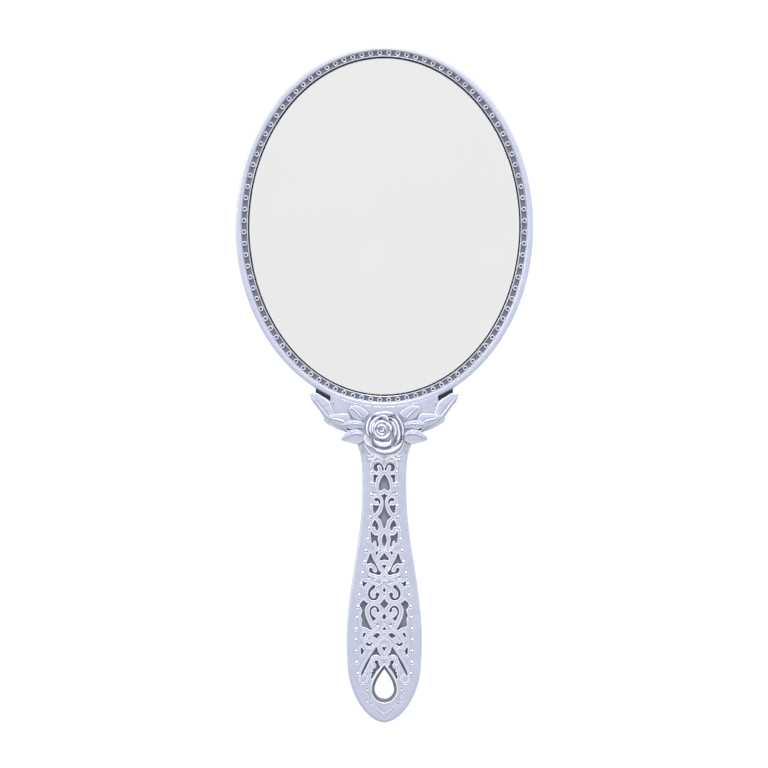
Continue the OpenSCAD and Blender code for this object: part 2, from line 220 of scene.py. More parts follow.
def relief(x_range, y_range, cell, keep, height, floor_z, tone):
    """A closed moulding: top surface height(x, y) wherever keep(x, y) > 0, upright walls and a flat base."""
    xs = np.arange(x_range[0], x_range[1] + cell, cell)
    ys = np.arange(y_range[0], y_range[1] + cell, cell)
    gx, gy = np.meshgrid(xs, ys)
    k = keep(gx, gy)
    inside = k > 0
    rows, cols = k.shape
    points, ids = [], {}

    def corner(r, c):
        key = (r, c)
        if key not in ids:
            ids[key] = len(points)
            points.append((xs[c], ys[r]))
        return ids[key]

    def crossing(r0, c0, r1, c1):
        key = (min(r0, r1), min(c0, c1), "h" if r0 == r1 else "v")
        if key not in ids:
            t = k[r0, c0] / (k[r0, c0] - k[r1, c1])
            t = min(max(t, CORNER_GAP), 1 - CORNER_GAP)
            ids[key] = len(points)
            points.append((xs[c0] + t * (xs[c1] - xs[c0]), ys[r0] + t * (ys[r1] - ys[r0])))
        return ids[key]

    faces, rims = [], []
    for r in range(rows - 1):
        for c in range(cols - 1):
            loop = [(r, c), (r, c + 1), (r + 1, c + 1), (r + 1, c)]
            flags = [inside[q] for q in loop]
            if not any(flags):
                continue
            if all(flags):
                faces.append([corner(*q) for q in loop])
                continue
            ring, cuts = [], []
            for i in range(4):
                a, b = loop[i], loop[(i + 1) % 4]
                if flags[i]:
                    ring.append(corner(*a))
                if flags[i] != flags[(i + 1) % 4]:
                    cuts.append((len(ring), flags[i]))
                    ring.append(crossing(*a, *b))
            if len(ring) > 2:
                faces.append(ring)
                for at, leaving in cuts:
                    if leaving:
                        rims.append((ring[at], ring[(at + 1) % len(ring)]))
    p = np.array(points)
    z = height(p[:, 0], p[:, 1])
    n = len(p)
    verts = np.vstack([with_z(p, z), with_z(p, floor_z)])
    walls = [[b, a, a + n, b + n] for a, b in rims]
    base = [[i + n for i in f[::-1]] for f in faces]
    # The base points get tone 0, so on the silver pieces every wall darkens downwards: painted shade
    shade = np.concatenate([tone(p[:, 0], p[:, 1]), np.zeros(n)])
    return verts, faces + walls + base, shade


# ---- Materials ----------------------------------------------------------------
def new_material(name):
    mat = bpy.data.materials.new(name)
    mat.use_nodes = True
    tree = mat.node_tree
    tree.nodes.clear()
    out = tree.nodes.new("ShaderNodeOutputMaterial")
    bsdf = tree.nodes.new("ShaderNodeBsdfPrincipled")
    tree.links.new(bsdf.outputs[0], out.inputs[0])
    return mat, tree, bsdf


def noise(tree, scale, detail=4.0, rough=0.6):
    coord = tree.nodes.new("ShaderNodeTexCoord")
    tex = tree.nodes.new("ShaderNodeTexNoise")
    tex.inputs["Scale"].default_value = scale
    tex.inputs["Detail"].default_value = detail
    tex.inputs["Roughness"].default_value = rough
    tree.links.new(coord.outputs["Object"], tex.inputs["Vector"])
    return tex.outputs["Fac"]


def ramp(tree, source, stops):
    node = tree.nodes.new("ShaderNodeValToRGB")
    cr = node.color_ramp
    while len(cr.elements) < len(stops):
        cr.elements.new(0.5)
    for e, (pos, colour) in zip(cr.elements, stops):
        e.position = pos
        e.color = (*colour, 1)
    tree.links.new(source, node.inputs[0])
    return node.outputs[0]


def mix(tree, fac, a, b, mode="MIX"):
    node = tree.nodes.new("ShaderNodeMix")
    node.data_type = "RGBA"
    node.blend_type = mode
    for value, socket in ((fac, node.inputs[0]), (a, node.inputs[6]), (b, node.inputs[7])):
        if isinstance(value, (int, float)):
            socket.default_value = value
        elif isinstance(value, tuple):
            socket.default_value = (*value, 1)
        else:
            tree.links.new(value, socket)
    return node.outputs[2]


def add_bump(tree, bsdf, height, strength, distance):
    node = tree.nodes.new("ShaderNodeBump")
    node.inputs["Strength"].default_value = strength
    node.inputs["Distance"].default_value = distance
    tree.links.new(height, node.inputs["Height"])
    tree.links.new(node.outputs[0], bsdf.inputs["Normal"])


def scaled(tree, source, low, high):
    node = tree.nodes.new("ShaderNodeMapRange")
    node.inputs["To Min"].default_value = low
    node.inputs["To Max"].default_value = high
    tree.links.new(source, node.inputs["Value"])
    return node.outputs[0]


GRAIN = 0.0002  # depth of the fine bump on every moulded surface, in metres


def silver_material(name, hollow_shade, plain, bright):
    """Satin silver coat: the tone attribute runs from painted shade in hollows and down walls (0) to painted
    highlights on ridges and lips (1).
    """
    mat, tree, bsdf = new_material(name)
    tone = tree.nodes.new("ShaderNodeAttribute")
    tone.attribute_name = "tone"
    base = ramp(tree, tone.outputs["Fac"], [(0.0, hollow_shade), (0.5, plain), (1.0, bright)])
    cloud = ramp(tree, noise(tree, scale=260), [(0.3, (0.90, 0.915, 0.95)), (0.7, (1.0, 1.0, 1.0))])
    tree.links.new(mix(tree, 1.0, base, cloud, "MULTIPLY"), bsdf.inputs["Base Color"])
    gloss = noise(tree, scale=400, detail=5)
    tree.links.new(scaled(tree, gloss, low=0.3, high=0.46), bsdf.inputs["Roughness"])
    bsdf.inputs["Metallic"].default_value = 0.55
    add_bump(tree, bsdf, noise(tree, scale=700, detail=3), strength=0.12, distance=GRAIN)
    return mat


def dull_material(name, dark, light, scale, rough):
    """A plain surface that drifts between two near colours, with an uneven gloss and a fine grain."""
    mat, tree, bsdf = new_material(name)
    colour = ramp(tree, noise(tree, scale, detail=5), [(0.35, dark), (0.65, light)])
    tree.links.new(colour, bsdf.inputs["Base Color"])
    gloss = noise(tree, scale * 3)
    uneven = 0.08
    tree.links.new(scaled(tree, gloss, rough - uneven, rough + uneven), bsdf.inputs["Roughness"])
    add_bump(tree, bsdf, noise(tree, scale * 4, detail=3), strength=0.2, distance=GRAIN)
    return mat


def mirror_material(name, colour, smear):
    """A reflecting coat, a touch darker in places and faintly smeared."""
    mat, tree, bsdf = new_material(name)
    bsdf.inputs["Metallic"].default_value = 1.0
    tint = tuple(c * 0.985 for c in colour)
    patches = ramp(tree, noise(tree, scale=12, detail=2), [(0.4, colour), (0.6, tint)])
    tree.links.new(patches, bsdf.inputs["Base Color"])
    tree.links.new(scaled(tree, noise(tree, scale=60), low=0.02, high=smear), bsdf.inputs["Roughness"])
    return mat


# The silver's first colour is painted shade for hollows, the last a painted highlight for ridges.
SILVER = silver_material("silver_coat", (0.20, 0.205, 0.26), (0.49, 0.515, 0.63), (0.84, 0.84, 0.89))
DARK = dull_material("dark_core", (0.225, 0.23, 0.285), (0.26, 0.265, 0.32), 300, 0.5)
# RIM_DARK and LINER are the dark core's colour made darker: painted shade for the narrow rim ground and the
# hang hole's sunk ledge
RIM_DARK = dull_material("rim_dark", (0.12, 0.12, 0.15), (0.14, 0.14, 0.175), 300, 0.5)
LINER = dull_material("hole_sleeve", (0.13, 0.135, 0.17), (0.15, 0.155, 0.19), 300, 0.5)
SHADOW = dull_material("slit_shadow", (0.03, 0.03, 0.035), (0.045, 0.045, 0.05), 300, 0.7)
MIRROR = mirror_material("mirror_pane", (0.85, 0.85, 0.85), 0.05)
EDGE = dull_material("pane_edge", (0.75, 0.78, 0.80), (0.85, 0.87, 0.88), 200, 0.2)
FILM = mirror_material("silvering", (0.85, 0.85, 0.84), 0.12)
PAINT = dull_material("backing_paint", (0.17, 0.19, 0.22), (0.22, 0.24, 0.27), 150, 0.6)
FOAM = dull_material("foam", (0.05, 0.05, 0.06), (0.10, 0.10, 0.11), 900, 0.9)
TAPE = dull_material("tape", (0.70, 0.67, 0.58), (0.80, 0.78, 0.70), 250, 0.7)
FLOOR = dull_material("floor", (0.40, 0.40, 0.40), (0.42, 0.42, 0.42), 6, 0.9)

CAD_MATERIALS = {"rim_ground": RIM_DARK, "handle_core": DARK, "hole_liner": LINER, "silvering": FILM,
                 "backing_coat": PAINT, "foam_pad": FOAM, "tape_upper": TAPE, "tape_lower": TAPE}
for cad_node, cad_material in CAD_MATERIALS.items():
    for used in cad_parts[cad_node].material_slots:
        used.material = cad_material


# ---- Head -----------------------------------------------------------------------
def bump(x, centre, width):
    """A smooth hump of height 1 at centre."""
    return np.exp(-((x - centre) / width) ** 2)


def build_band():
    """The smooth rim: a rounded strip with a faint sunk row of dashes, and a painted highlight at the top of
    the head.
    """
    n = LOOPS * 16
    top = FRAME_TOP
    # Distance in from the outline, height and tone; the low tones down the inner wall are painted shade
    profile = [(0, PART_Z, 0.45), (0, top - 2.3, 0.45), (0.03, top - 1.5, 0.45), (0.12, top - 0.9, 0.46),
               (0.28, top - 0.45, 0.5), (0.5, top - 0.2, 0.53), (0.8, top - 0.09, 0.55),
               (1.2, top - 0.04, 0.55), (1.6, top - 0.04, 0.55), (1.95, top - 0.07, 0.55),
               (2.2, top - 0.14, 0.53),
               (GROUND_INSET - 0.08, top - 0.35, 0.45), (GROUND_INSET, top - 0.8, 0.25),
               (GROUND_INSET, GROUND_HI[2] - 1, 0.0)]
    dash_inset, dash_width, dash_depth = 1.3, 0.3, 0.05
    side_tone = 0.47  # the paler rows above this tone are the band's face
    t = np.linspace(0, 2 * math.pi, n, endpoint=False)
    dash = np.maximum(0, np.cos(2 * LOOPS * t)) ** 2
    parts = Parts()
    rings = []
    for d, z, _ in profile:
        emboss = dash_depth * dash * bump(d, dash_inset, dash_width)
        rings.append(with_z(oval(d, n), z - emboss))
    tone = np.array([row[2] for row in profile])[:, None]
    # A painted highlight on the band's face across the top of the head
    painted_top_highlight = 0.35 * bump(t, math.pi / 2, 0.4)
    parts.loft(rings, np.clip(tone + painted_top_highlight[None, :] * (tone > side_tone), 0, 1).reshape(-1))
    return parts


def tube_rings(path, radius, z, closed=True, sides=8, squash=1.0):
    """Rings of a round bar along a flat path."""
    normals = left_normals(path, closed)
    rings = []
    for k in range(sides):
        a = 2 * math.pi * k / sides
        rings.append(with_z(path + normals * radius * math.cos(a), z + radius * squash * math.sin(a)))
    return np.array(rings + rings[:1]).transpose(1, 0, 2)[:, :-1]


def add_tube(parts, path, radius, z, closed=True, sides=8, squash=1.0, tone=0.8):
    """Adds a round bar, joined up or with its ends capped."""
    rings = tube_rings(path, radius, z, closed, sides, squash)
    if closed:
        rings = np.concatenate([rings, rings[:1]])
    parts.loft(rings, tone, cap_ends=not closed)


def build_lace():
    """Small open rings side by side, standing on the dark ground and joined to the band."""
    parts = Parts()
    z = GROUND_HI[2]
    t = (np.arange(LOOPS) + 0.5) * 2 * math.pi / LOOPS
    nx, ny = np.cos(t) / HEAD_A, np.sin(t) / HEAD_B
    size = np.hypot(nx, ny)
    nx, ny = nx / size, ny / size
    ring_r, ring_bar, ring_lift, ring_gap = 0.71, 0.26, 0.28, 0.22
    leg_bar, leg_lift = 0.17, 0.22
    squash = 1.2
    turn = np.linspace(0, 2 * math.pi, 18, endpoint=False)
    for k in range(LOOPS):
        base = np.array([HEAD_A * math.cos(t[k]), HEAD_CY + HEAD_B * math.sin(t[k])])
        n2 = np.array([nx[k], ny[k]])
        s2 = np.array([-ny[k], nx[k]])
        centre = base - n2 * (GROUND_INSET + ring_gap + ring_r)
        path = centre + ring_r * (np.cos(turn)[:, None] * s2 + np.sin(turn)[:, None] * n2)
        add_tube(parts, path, ring_bar, z + ring_lift, squash=squash, tone=0.62)
        for side in (-1, 1):
            foot = base - n2 * (GROUND_INSET - 0.1) + side * s2 * 0.95
            mid = base - n2 * (GROUND_INSET + 0.25) + side * s2 * 0.72
            end = centre + side * s2 * ring_r * 0.9 + n2 * ring_r * 0.35
            leg = spline([foot, mid, end], 0.25)
            add_tube(parts, leg, leg_bar, z + leg_lift, closed=False, sides=6, squash=squash, tone=0.5)
    n = LOOPS * 6
    strip = [(GROUND_INSET, z + 0.45), (GROUND_INSET + 0.12, z + 0.4), (GROUND_INSET + 0.25, z + 0.05),
             (GROUND_INSET, z), (GROUND_INSET, z + 0.45)]
    parts.loft([with_z(oval(d, n), h) for d, h in strip], 0.55)
    return parts


OVAL_POINTS = 480


def build_trim():
    """The thin raised ring at the edge of the glass recess."""
    parts = Parts()
    z = GROUND_HI[2]
    profile = [(0, 0), (0.04, 0.35), (0.14, 0.52), (0.24, 0.56), (0.34, 0.5), (0.42, 0.3), (0.45, 0), (0, 0)]
    parts.loft([with_z(oval(TRIM_INSET + d, OVAL_POINTS), z + h) for d, h in profile], 0.6)
    return parts


def build_pane():
    """Glass with a narrow ground bevel; only the bevel and the edge are pale."""
    parts = Parts()
    n = OVAL_POINTS
    low, top = PANE_LO[2], PANE_HI[2]
    profile = [(0, low), (0, top - 0.3), (0.12, top - 0.08), (0.38, top)]
    parts.loft([with_z(oval(PANE_INSET + d, n), h) for d, h in profile], 0.5)
    start = len(parts.verts) - n
    parts.faces.append([start + i for i in range(n)])
    parts.faces.append([n - 1 - i for i in range(n)])
    obj = parts.build("glass_pane", MIRROR, replaces=["mirror_glass"], slot="mirror_pane")
    obj.data.materials.append(EDGE)
    for poly in obj.data.polygons:
        flat = abs(poly.normal.z) > 0.999
        poly.use_smooth = not flat
        poly.material_index = 0 if flat else 1


build_band().build("rim_band", SILVER, replaces=["front_frame"])
build_lace().build("lace_loops", SILVER, replaces=["rim_lace"])
build_trim().build("glass_trim", SILVER, replaces=["trim_ring"])
build_pane()

# ---- Handle ---------------------------------------------------------------------
LEVEL = FRAME_TOP - 0.05  # the handle's plain surface
NECK_Y = -8.0  # the handle's border starts here
GRIP_Y = -40.0  # the widest part of the handle is below this
BEAD_FIRST, BEAD_PITCH, BEADS = -32.6, 4.12, 19
BEAD_INSET, BEAD_R = 3.65, 0.47
BEAD_Y = BEAD_FIRST - BEAD_PITCH * np.arange(BEADS)
BEAD_AT = np.array([(s * (half_width(y) - BEAD_INSET), y) for y in BEAD_Y for s in (-1, 1)])
BORDER = SIDE[SIDE[:, 0] < GRIP_Y, 1].max() - PANEL_HI[0]


def sample(segments, step=0.05):
    """Points about every step along the segments."""
    pts = []
    for a, b in segments:
        n = max(1, int(np.linalg.norm(b - a) / step))
        pts += [a + (b - a) * t for t in np.arange(n) / n]
    return np.array(pts)


class Nearest:
    """Distance from any point to the nearest of a set of sample points."""

    def __init__(self, pts):
        self.tree = KDTree(len(pts))
        for i, (x, y) in enumerate(pts):
            self.tree.insert((x, y, 0), i)
        self.tree.balance()

    def __call__(self, x, y):
        flat = [self.tree.find((a, b, 0))[2] for a, b in zip(np.ravel(x), np.ravel(y))]
        return np.array(flat).reshape(np.shape(x))


def parity(segments, x, y):
    """True where a point lies inside the closed outlines, by counting crossings to its right."""
    inside = np.zeros(np.shape(x), bool)
    for (x0, y0), (x1, y1) in segments:
        if y0 == y1:
            continue
        hit = (y0 > y) != (y1 > y)
        inside ^= hit & (x < x0 + (y - y0) * (x1 - x0) / (y1 - y0))
    return inside


EDGES = top_edges("handle_filigree")
MID = EDGES.mean(1)
near_hole = Nearest(sample(top_edges("hole_rim")))
side_line = np.vstack([SIDE[:, ::-1], SIDE[::-1, ::-1] * [-1, 1]])
near_side = Nearest(sample(np.stack([side_line[:-1], side_line[1:]], 1)))
# The panel's own edges, beside the border, the neck and the hang hole, get no ridge
on_border = near_side(MID[:, 0], MID[:, 1]) < BORDER + 0.08
on_border |= (MID[:, 1] > PANEL_HI[1] - 0.1) | (near_hole(MID[:, 0], MID[:, 1]) < 0.2)
near_window = Nearest(sample(EDGES[~on_border]))
near_any = Nearest(sample(EDGES))

# Raised strands that run over the openwork: smooth paths on the right half, each mirrored
STRANDS = [
    [(0, -93.3), (1.9, -95.3), (4.0, -98.0), (5.9, -100.9), (7.5, -103.6), (8.6, -105.9), (9.0, -107.8)],
    [(2.6, -66.8), (1.4, -68.5), (0, -70), (-1.6, -71.3), (-3.4, -72.3)],
    [(4.2, -57.8), (3.4, -60.2), (1.9, -61.3), (0, -61.5)],
    [(2.2, -89.6), (4.6, -91.8), (6.2, -93.4), (7.0, -95.0), (6.6, -96.9), (5.3, -97.5), (4.2, -96.8)],
    [(0, -72.4), (1.5, -71.4), (3.6, -71.0), (5.6, -70.3)],
    [(1.0, -73.0), (2.6, -74.2), (4.2, -73.4), (6.0, -72.2)],
    [(0, -101.2), (1.6, -100.6), (3.2, -100.5), (4.6, -101.4), (4.9, -102.8), (4.2, -104.0)],
    [(8.6, -107.6), (7.4, -107.2), (6.4, -107.9), (6.3, -109.3), (7.2, -110.4), (8.6, -110.3), (9.2, -109)],
]
# Thin engraved lines near the tip, right half
FINE_LINES = [
    [(0, -123.2), (1.5, -121.7), (2.7, -120.6), (3.4, -119.4)],
    [(0, -120.9), (1.2, -120), (2.2, -119.2)],
    [(4.6, -118.6), (5.6, -117.3), (5.2, -115.6), (5.9, -114), (7.2, -113.4), (7.9, -112)],
]
# Small drilled-looking pits, right half: x, y and radius
PITS = [(5.7, -71.4, 0.34), (3.6, -71.8, 0.22), (1.7, -73.4, 0.42), (0, -71.9, 0.26), (0, -78, 0.3),
        (0, -88, 0.26), (2.4, -88.8, 0.42), (3.6, -88.5, 0.25), (7, -98.5, 0.26), (1.4, -61.5, 0.34),
        (0, -102.7, 0.3),
        (3.6, -37.4, 0.25), (4.0, -40.3, 0.34), (3.3, -40.4, 0.28), (8.6, -110.5, 0.25), (6.9, -110.6, 0.25),
        (6.4, -112.5, 0.3), (4.8, -117.9, 0.3), (6.3, -116.6, 0.25), (7.3, -33.2, 0.2), (7.5, -34.8, 0.2),
        (7.7, -37.5, 0.18)]
PIT_LIP = 1.7  # the raised lip round a pit, in pit radii

# Ridges and grooves beside a line: amount (of height, or of tone), distance from the line and width; the
# tone rows are painted highlights on the ridges and painted shade in the grooves
WINDOW_RISE = [(0.1, 0.3, 0.2), (-0.03, 0.66, 0.16), (-0.05, 0, 0.12), (0.05, 1.0, 0.2), (-0.03, 1.38, 0.16)]
WINDOW_TONE = [(0.32, 0.3, 0.19), (-0.16, 0.66, 0.16), (-0.2, 0, 0.1), (0.2, 1.0, 0.19), (-0.14, 1.38, 0.16)]
STRAND_RISE = [(0.09, 0.32, 0.2), (-0.03, 0, 0.15), (-0.03, 0.68, 0.16)]
STRAND_TONE = [(0.30, 0.32, 0.18), (-0.12, 0, 0.15), (-0.2, 0.68, 0.16)]
FINE_RISE = [(-0.04, 0, 0.18)]
FINE_TONE = [(-0.28, 0, 0.17), (0.12, 0.38, 0.16)]


def waves(distance, rows, start=0):
    """start with a bump added for each row."""
    return sum((amount * bump(distance, centre, width) for amount, centre, width in rows), start)


def near_paths(paths):
    """Distance to the smooth paths and their mirror images."""
    pts = np.vstack([spline(p, 0.05) for p in paths])
    return Nearest(np.vstack([pts, pts * [-1, 1]]))


near_strand = near_paths(STRANDS)
near_fine = near_paths(FINE_LINES)


def bead_shape(x, y):
    """Beads that each sit in a small U-shaped socket, open towards the head."""
    rise, tone = np.zeros(np.shape(x)), np.zeros(np.shape(x))
    for bx, by in BEAD_AT:
        near = (np.abs(x - bx) < 1.5) & (np.abs(y - by) < 1.5)
        r = np.hypot(x[near] - bx, y[near] - by)
        below = np.maximum(0, (by - y[near]) / np.maximum(r, 0.01))
        dome = np.sqrt(np.maximum(0, 1 - (r / BEAD_R) ** 2)) * 0.34
        socket = 0.14 * bump(r, 0.98, 0.16) * below
        moat = -0.2 * bump(r, 0.66, 0.13) * (0.15 + 0.85 * below)
        rise[near] += dome + socket + moat
        # Tone: painted highlights on each dome and socket lip, painted shade in the moat round the bead
        tone[near] += 0.5 * (dome > 0.1) + 1.6 * socket + 2.0 * moat
    return rise, tone


def handle_shape(x, y):
    """Height above the handle's plain level and its tone: a ridge follows each opening and each strand; the
    tone is painted highlight on ridges and painted shade in grooves and pits.
    """
    to_window = near_window(x, y)
    to_strand = near_strand(x, y)
    to_fine = near_fine(x, y)
    under = 1 - bump(to_strand, 0, 0.45)  # a strand covers the ridges that it crosses
    rise = waves(to_strand, STRAND_RISE, waves(to_window, WINDOW_RISE) * under)
    tone = waves(to_strand, STRAND_TONE, waves(to_window, WINDOW_TONE) * under)
    rise = waves(to_fine, FINE_RISE, rise)
    tone = waves(to_fine, FINE_TONE, tone)
    # Each pit is darkened as painted shade, its lip brightened as a painted highlight
    for px, py, r in PITS:
        for sign in ((-1, 1) if px else (1,)):
            away = np.hypot(x - sign * px, y - py)
            rise = waves(away, [(-0.3, 0, r), (0.04, r * PIT_LIP, 0.18)], rise)
            tone = waves(away, [(-0.5, 0, r), (0.1, r * PIT_LIP, 0.18)], tone)
    bead_rise, bead_tone = bead_shape(x, y)
    return rise + bead_rise, np.clip(0.5 + tone + bead_tone, 0, 1)


def handle_path():
    """The handle's outline from the right shoulder round the tip to the left shoulder."""
    right = SIDE[SIDE[:, 1] > AXIS]
    right = right[right[:, 0] < NECK_Y][::-1]
    pts = [(x, y) for y, x in right] + [(0, SHELL_LO[1])] + [(-x, y) for y, x in right[::-1]]
    return spline(pts, 0.15)


def build_border():
    """The rounded edge of the handle and its flat border, one strip that follows the outline."""
    path = handle_path()
    inward = -left_normals(path)
    if inward[0][0] > 0:
        inward = -inward
    top = FRAME_TOP
    # Distance in from the outline, height and tone; no tone means that handle_shape gives it; the falling
    # tones down the inner wall are painted shade
    edge = [(0, PART_Z, 0.45), (0, top - 2.2, 0.45), (0.04, top - 1.5, 0.44), (0.15, top - 0.9, 0.42),
            (0.4, top - 0.35, 0.46), (0.7, top - 0.12, 0.5), (1.0, LEVEL, 0.5)]
    flat_from, flat_step, lap = 1.3, 0.12, 0.06
    flat = [(d, LEVEL, None) for d in np.arange(flat_from, BORDER + 0.05, flat_step)]
    inner = [(BORDER + lap, LEVEL - 0.3, 0.4), (BORDER + lap, CORE_TOP, 0.2)]
    rings, tones = [], []
    for d, z, tone in edge + flat + inner:
        p = path + inward * d
        rise, shade = 0.0, np.full(len(p), tone)
        if tone is None:
            rise, shade = handle_shape(p[:, 0], p[:, 1])
        rings.append(with_z(p, z + rise))
        tones.append(shade)
    parts = Parts()
    parts.loft(rings, np.array(tones, float).reshape(-1), around=False)
    return parts


build_border().build("handle_border", SILVER)


PANEL_CELL, QUICK_CELL = 0.13, 0.3


def panel_keep(x, y):
    """Distance inside the openwork panel, negative in its openings and past its edge."""
    d = near_any(x, y)
    return np.where(parity(EDGES, x, y), d, -d) + 0.02


def build_panel():
    """The openwork panel, standing on the dark core."""
    margin = 0.5
    reach = PANEL_HI[0] + margin
    cell = PANEL_CELL
    y_range = (PANEL_LO[1] - margin, PANEL_HI[1] + margin)
    verts, faces, shade = relief((-reach, reach), y_range, cell, panel_keep,
                                 lambda x, y: LEVEL - 0.02 + handle_shape(x, y)[0], CORE_TOP,
                                 lambda x, y: handle_shape(x, y)[1])
    return make_object("scroll_panel", verts, faces, SILVER, ["handle_filigree"], shade=shade)


build_panel()


def outside_oval(x, y):
    """Distance outside the head's outline, negative inside it."""
    r = np.hypot(x / HEAD_A, (y - HEAD_CY) / HEAD_B)
    slope = np.hypot(x / HEAD_A ** 2, (y - HEAD_CY) / HEAD_B ** 2) / r
    return (r - 1) / slope


# The neck, in distances from the outline, the centre line (x) or the head's outline (beyond)
PLATE_INSET = 2.4
CORE_INSET = 0.8
CORE_END_Y = -9.0
PLATE_LAP, DARK_LAP = 0.9, 0.6  # how far each part reaches in under the rim band
SLIT_X = (18.5, 25.3)
SLIT_BEYOND = 2.0
SLIT_THICK = 0.8
PLATE_STOP_X, PLATE_STOP_BEYOND = 19.8, 1.5  # past both of these the plate leaves the slit open
WALL_THICK = 0.8
WALL_Y = (-9.0, -3.3)


def flat(z):
    """The same value everywhere, for relief()."""
    return lambda x, y: np.full(np.shape(x), z)


def plate_keep(x, y):
    side = half_width(y) - PLATE_INSET - np.abs(x)
    beyond = outside_oval(x, y)
    slit = np.maximum(PLATE_STOP_X - np.abs(x), beyond - PLATE_STOP_BEYOND)
    return np.minimum.reduce([side, y - PANEL_HI[1] - 0.02, beyond + PLATE_LAP, slit])


def core_keep(x, y):
    side = half_width(y) - CORE_INSET - np.abs(x)
    return np.minimum.reduce([side, y - PANEL_HI[1] - 3, CORE_END_Y - y, outside_oval(x, y) + DARK_LAP])


def slit_keep(x, y):
    beyond = outside_oval(x, y)
    return np.minimum.reduce([SLIT_X[1] - np.abs(x), np.abs(x) - SLIT_X[0], beyond + DARK_LAP,
                              SLIT_BEYOND - beyond])


def wall_keep(x, y):
    inset = half_width(y) - np.abs(x)
    return np.minimum.reduce([inset, WALL_THICK - inset, y - WALL_Y[0], WALL_Y[1] - y])


def build_neck():
    """The neck: a pale plate, the core below it, and the slit and side wall by each leaf tip."""
    low = PANEL_HI[1]
    verts, faces, shade = relief((-24, 24), (low - 1, -2), 0.4, plate_keep, flat(LEVEL - 0.03), CORE_TOP,
                                 flat(0.5))
    make_object("neck_plate", verts, faces, SILVER, shade=shade)
    verts, faces, shade = relief((-26, 26), (low, -1.5), 0.5, core_keep, flat(CORE_TOP), CORE_TOP - 2,
                                 flat(0.2))
    make_object("neck_core", verts, faces, DARK, slot="dark_core", shade=shade)
    # neck_slit: a near-black sheet of painted shadow in the slit between each leaf tip and the rim
    verts, faces, shade = relief((-26, 26), (-14, 0), 0.3, slit_keep, flat(CORE_TOP), CORE_TOP - SLIT_THICK,
                                 flat(0.1))
    make_object("neck_slit", verts, faces, SHADOW, slot="dark_core", shade=shade)
    verts, faces, shade = relief((-26, 26), (-10, -2), 0.2, wall_keep, flat(CORE_TOP - 0.05), PART_Z,
                                 flat(0.4))
    make_object("neck_wall", verts, faces, SILVER, shade=shade)


build_neck()


def teardrop(grow, n=120):
    """The hang hole's outline moved outwards by grow, counter-clockwise from the tip."""
    lo, hi = box_mm("hole_liner")
    wall = 0.45
    tip_stretch = 1.45  # the pointed end grows faster than the round one
    r = hi[0] - wall + grow
    low = lo[1] + wall - grow
    cy = lo[1] + hi[0]
    tip = hi[1] - tip_stretch * wall + tip_stretch * grow
    t = np.linspace(0, 1, n)
    shoulder = np.stack([-r * np.sin(math.pi / 2 * t), tip + (cy - tip) * t], 1)
    a = np.linspace(math.pi, 2 * math.pi, n)
    bottom = np.stack([r * np.cos(a), cy + r * np.sin(a)], 1)
    return np.vstack([shoulder[:-1], bottom, (shoulder * [-1, 1])[::-1][1:-1]])


def build_rim_bar():
    """The raised teardrop rim round the hang hole."""
    parts = Parts()
    z = CORE_TOP
    crest = FRAME_TOP + 0.05
    # Distance out from the hole, height and tone; tone 1 on the crest is a painted highlight, the low tones
    # at the feet painted shade
    profile = [(1.0, z, 0.3), (1.0, crest - 0.4, 0.7), (1.03, crest - 0.08, 1.0), (1.15, crest, 1.0),
               (1.35, crest, 1.0), (1.44, crest - 0.08, 0.9), (1.47, crest - 0.4, 0.4), (1.47, z, 0.1)]
    parts.loft([with_z(teardrop(d), h) for d, h, _ in profile], [t for _, _, t in profile])
    return parts


build_rim_bar().build("hole_rim_bar", SILVER, replaces=["hole_rim"])


# ---- Back shell -------------------------------------------------------------------
def full_outline():
    """The whole mirror's outline, from the top of the head down its right side and back up its left."""
    right = SIDE[SIDE[:, 1] > AXIS][::-1]
    right = [(x, y) for y, x in right if y < SHELL_HI[1] - SAME]
    pts = [(0, SHELL_HI[1])] + right + [(0, SHELL_LO[1])]
    pts += [(-x, y) for x, y in right[::-1]]
    return spline(pts, 0.6, closed=True)


def build_back():
    """The back half's rounded edge, and the points of its flat back and of the teardrop hole in it."""
    path = full_outline()
    inward = -left_normals(path, True)
    if np.dot(inward[len(path) // 4], -path[len(path) // 4] + [0, HEAD_CY]) < 0:
        inward = -inward
    flat_inset, hole_gap = 1.9, 0.47
    profile = [(0, PART_Z), (0, 2.6), (0.06, 2.0), (0.22, 1.4), (0.5, 0.8), (0.9, 0.35), (1.4, 0.08),
               (flat_inset, 0.0)]
    parts = Parts()
    parts.loft([with_z(path + inward * d, z) for d, z in profile], 0.45)
    inner = path + inward * flat_inset
    hole = teardrop(hole_gap, 30)
    start = len(parts.verts)
    parts.add(with_z(np.vstack([inner, hole]), 0.0), [], 0.45)
    return parts, start, len(inner), len(hole)


def fill_between(parts, start, n_out, n_in):
    """Flat face between an outer and an inner loop."""
    co = [Vector(parts.verts[start + i][:2]) for i in range(n_out + n_in)]
    loops = [[i, (i + 1) % n_out] for i in range(n_out)]
    loops += [[n_out + i, n_out + (i + 1) % n_in] for i in range(n_in)]
    _, _, faces, *_ = delaunay_2d_cdt(co, loops, [], 0, 1e-5)
    hole = np.array([parts.verts[start + n_out + i][:2] for i in range(n_in)])
    outer = np.array([parts.verts[start + i][:2] for i in range(n_out)])
    for f in faces:
        c = np.mean([co[i] for i in f], 0)
        if in_loop(outer, c) and not in_loop(hole, c):
            parts.faces.append([start + i for i in f])


def in_loop(loop, p):
    """True where p lies inside the closed loop."""
    a, b = loop, np.roll(loop, -1, 0)
    hit = (a[:, 1] > p[1]) != (b[:, 1] > p[1])
    with np.errstate(divide="ignore", invalid="ignore"):
        x = a[:, 0] + (p[1] - a[:, 1]) * (b[:, 0] - a[:, 0]) / (b[:, 1] - a[:, 1])
    return np.count_nonzero(hit & (p[0] < x)) % 2 == 1


